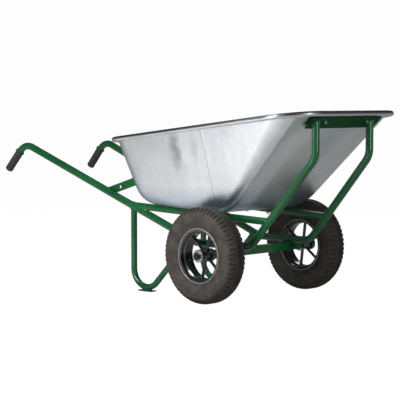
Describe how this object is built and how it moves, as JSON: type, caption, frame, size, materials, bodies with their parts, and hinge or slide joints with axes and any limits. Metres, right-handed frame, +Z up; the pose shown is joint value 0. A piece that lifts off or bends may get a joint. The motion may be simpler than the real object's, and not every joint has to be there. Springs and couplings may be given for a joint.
{
  "type": "two wheel wheelbarrow",
  "caption": "Garden wheelbarrow with a deep galvanised pan on a bent tube frame, twin pneumatic wheels on one axle, looped legs and two handles for pushing and tipping.",
  "frame": {"origin": "on the ground under the middle of the barrow's length, on its middle plane", "axes": "+X forward to the nose of the pan, +Y to the left as the user pushes it, +Z up"},
  "size_m": [1.8868, 0.7464, 0.7939],
  "materials": {
    "galvanised_sheet": "hot dip galvanised steel sheet with a soft spangle",
    "green_paint": "gloss green enamel on steel",
    "black_paint": "black enamel on steel",
    "tyre_rubber": "matt tyre rubber",
    "tube_rubber": "smooth butyl rubber",
    "grip_rubber": "ribbed soft grip rubber",
    "black_plastic": "moulded black plastic",
    "zinc_steel": "zinc plated steel"
  },
  "bodies": {
    "frame": {"pan": "galvanised_sheet", "frame_tube_right": "green_paint", "frame_tube_left": "green_paint", "bed_rail_right": "green_paint", "bed_rail_left": "green_paint", "leg_right": "green_paint", "leg_left": "green_paint", "foot_skid_right": "green_paint", "foot_skid_left": "green_paint", "grip_right": "grip_rubber", "grip_left": "grip_rubber", "nose_strip": "green_paint", "rear_strap": "green_paint", "axle_beam": "green_paint", "beam_plates": "green_paint", "axle": "green_paint", "axle_collars": "green_paint", "axle_washers": "zinc_steel", "axle_nuts": "green_paint", "floor_bolts": "zinc_steel", "floor_nuts": "zinc_steel", "nose_bolts": "zinc_steel", "nose_nuts": "zinc_steel", "strap_bolts": "zinc_steel", "strap_nuts": "zinc_steel"},
    "wheel_right": {"tyre_right": "tyre_rubber", "inner_tube_right": "tube_rubber", "rim_right": "black_paint", "spokes_right": "black_paint", "hub_right": "black_paint", "bearings_right": "zinc_steel", "valve_right": "tube_rubber", "valve_cap_right": "black_plastic", "grease_nipple_right": "zinc_steel"},
    "wheel_left": {"tyre_left": "tyre_rubber", "inner_tube_left": "tube_rubber", "rim_left": "black_paint", "spokes_left": "black_paint", "hub_left": "black_paint", "bearings_left": "zinc_steel", "valve_left": "tube_rubber", "valve_cap_left": "black_plastic", "grease_nipple_left": "zinc_steel"}
  },
  "joints": [
    {"name": "wheel_right_spin", "type": "hinge", "parent": "frame", "child": "wheel_right", "pos_m": [0.41849, -0.32267, 0.2], "axis": [0, 1, 0], "continuous": true},
    {"name": "wheel_left_spin", "type": "hinge", "parent": "frame", "child": "wheel_left", "pos_m": [0.41849, 0.32267, 0.2], "axis": [0, 1, 0], "continuous": true}
  ]
}
